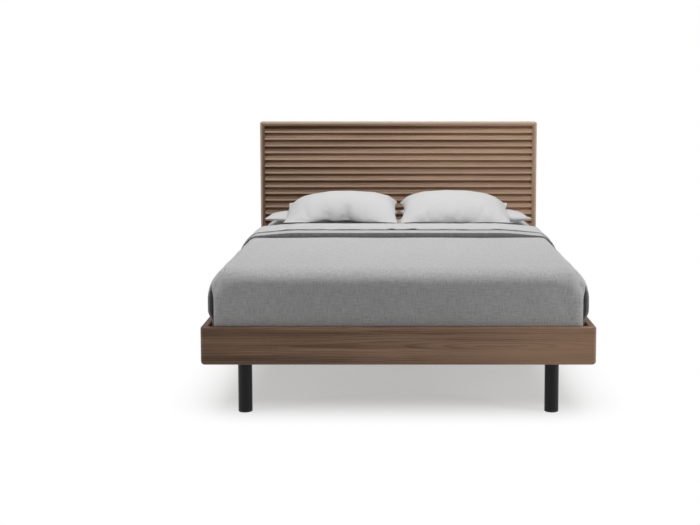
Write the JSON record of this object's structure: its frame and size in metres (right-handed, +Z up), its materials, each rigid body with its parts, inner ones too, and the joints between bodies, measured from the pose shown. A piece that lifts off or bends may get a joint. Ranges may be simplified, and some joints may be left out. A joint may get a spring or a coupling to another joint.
{
  "type": "platform bed",
  "caption": "Platform bed with a framed, louvred walnut headboard, low rails, slim round black legs, slats, and a made-up mattress with duvet, turned-down sheet and stacked pillows.",
  "frame": {"origin": "on the floor under the centre of the bed's bounding box", "axes": "+X to the right as seen from the foot, +Y from the foot to the headboard, +Z up"},
  "size_m": [1.626, 2.15, 1.178],
  "materials": {
    "walnut": "satin",
    "pale_timber": "matte",
    "webbing": "matte",
    "black_plastic": "matte",
    "black_steel": "satin",
    "zinc_steel": "satin",
    "mattress_ticking": "matte",
    "white_cotton": "matte",
    "grey_linen": "matte",
    "pillow_cotton": "matte"
  },
  "bodies": {
    "bed_frame": {"bracket_bolts": "zinc_steel", "center_beam": "pale_timber", "foot_beam_hanger": "black_steel", "foot_center_support_leg": "black_steel", "foot_left_corner_bracket": "black_steel", "foot_left_leg": "black_steel", "foot_left_leg_glide": "black_plastic", "foot_leg_beam": "pale_timber", "foot_rail": "walnut", "foot_right_corner_bracket": "black_steel", "foot_right_leg": "black_steel", "foot_right_leg_glide": "black_plastic", "hanger_screws": "zinc_steel", "head_beam_hanger": "black_steel", "head_center_support_leg": "black_steel", "head_left_corner_bracket": "black_steel", "head_left_leg": "black_steel", "head_left_leg_glide": "black_plastic", "head_leg_beam": "pale_timber", "head_right_corner_bracket": "black_steel", "head_right_leg": "black_steel", "head_right_leg_glide": "black_plastic", "headboard_back_panel": "walnut", "headboard_bottom_rail": "walnut", "headboard_left_stile": "walnut", "headboard_louver_01": "walnut", "headboard_louver_02": "walnut", "headboard_louver_03": "walnut", "headboard_louver_04": "walnut", "headboard_louver_05": "walnut", "headboard_louver_06": "walnut", "headboard_louver_07": "walnut", "headboard_louver_08": "walnut", "headboard_louver_09": "walnut", "headboard_louver_10": "walnut", "headboard_louver_11": "walnut", "headboard_louver_12": "walnut", "headboard_louver_13": "walnut", "headboard_louver_14": "walnut", "headboard_louver_15": "walnut", "headboard_right_stile": "walnut", "headboard_top_rail": "walnut", "ledger_screws": "zinc_steel", "left_ledger": "pale_timber", "left_side_rail": "walnut", "leg_bolts": "zinc_steel", "right_ledger": "pale_timber", "right_side_rail": "walnut", "slat_webbing": "webbing", "slats": "pale_timber"},
    "mattress_and_bedding": {"mattress": "mattress_ticking", "fitted_sheet": "white_cotton", "duvet": "grey_linen", "turned_down_sheet": "white_cotton"},
    "foot_leveling_foot": {"foot_leveling_foot": "black_plastic"},
    "head_leveling_foot": {"head_leveling_foot": "black_plastic"},
    "left_lower_pillow": {"left_lower_pillow": "pillow_cotton"},
    "left_upper_pillow": {"left_upper_pillow": "pillow_cotton"},
    "right_lower_pillow": {"right_lower_pillow": "pillow_cotton"},
    "right_upper_pillow": {"right_upper_pillow": "pillow_cotton"}
  },
  "joints": [
    {"name": "foot_leveling_foot_screw_travel", "type": "slide", "parent": "bed_frame", "child": "foot_leveling_foot", "axis": [0, 0, 1], "range_m": [0, 0.0095]},
    {"name": "head_leveling_foot_screw_travel", "type": "slide", "parent": "bed_frame", "child": "head_leveling_foot", "axis": [0, 0, 1], "range_m": [0, 0.0095]},
    {"name": "mattress_lift", "type": "slide", "parent": "bed_frame", "child": "mattress_and_bedding", "axis": [0, 0, 1], "range_m": [0, 0.35]},
    {"name": "left_lower_pillow_lift", "type": "slide", "parent": "mattress_and_bedding", "child": "left_lower_pillow", "axis": [0, 0, 1], "range_m": [0, 0.3]},
    {"name": "left_upper_pillow_lift", "type": "slide", "parent": "left_lower_pillow", "child": "left_upper_pillow", "axis": [0, 0, 1], "range_m": [0, 0.3]},
    {"name": "right_lower_pillow_lift", "type": "slide", "parent": "mattress_and_bedding", "child": "right_lower_pillow", "axis": [0, 0, 1], "range_m": [0, 0.3]},
    {"name": "right_upper_pillow_lift", "type": "slide", "parent": "right_lower_pillow", "child": "right_upper_pillow", "axis": [0, 0, 1], "range_m": [0, 0.3]}
  ]
}
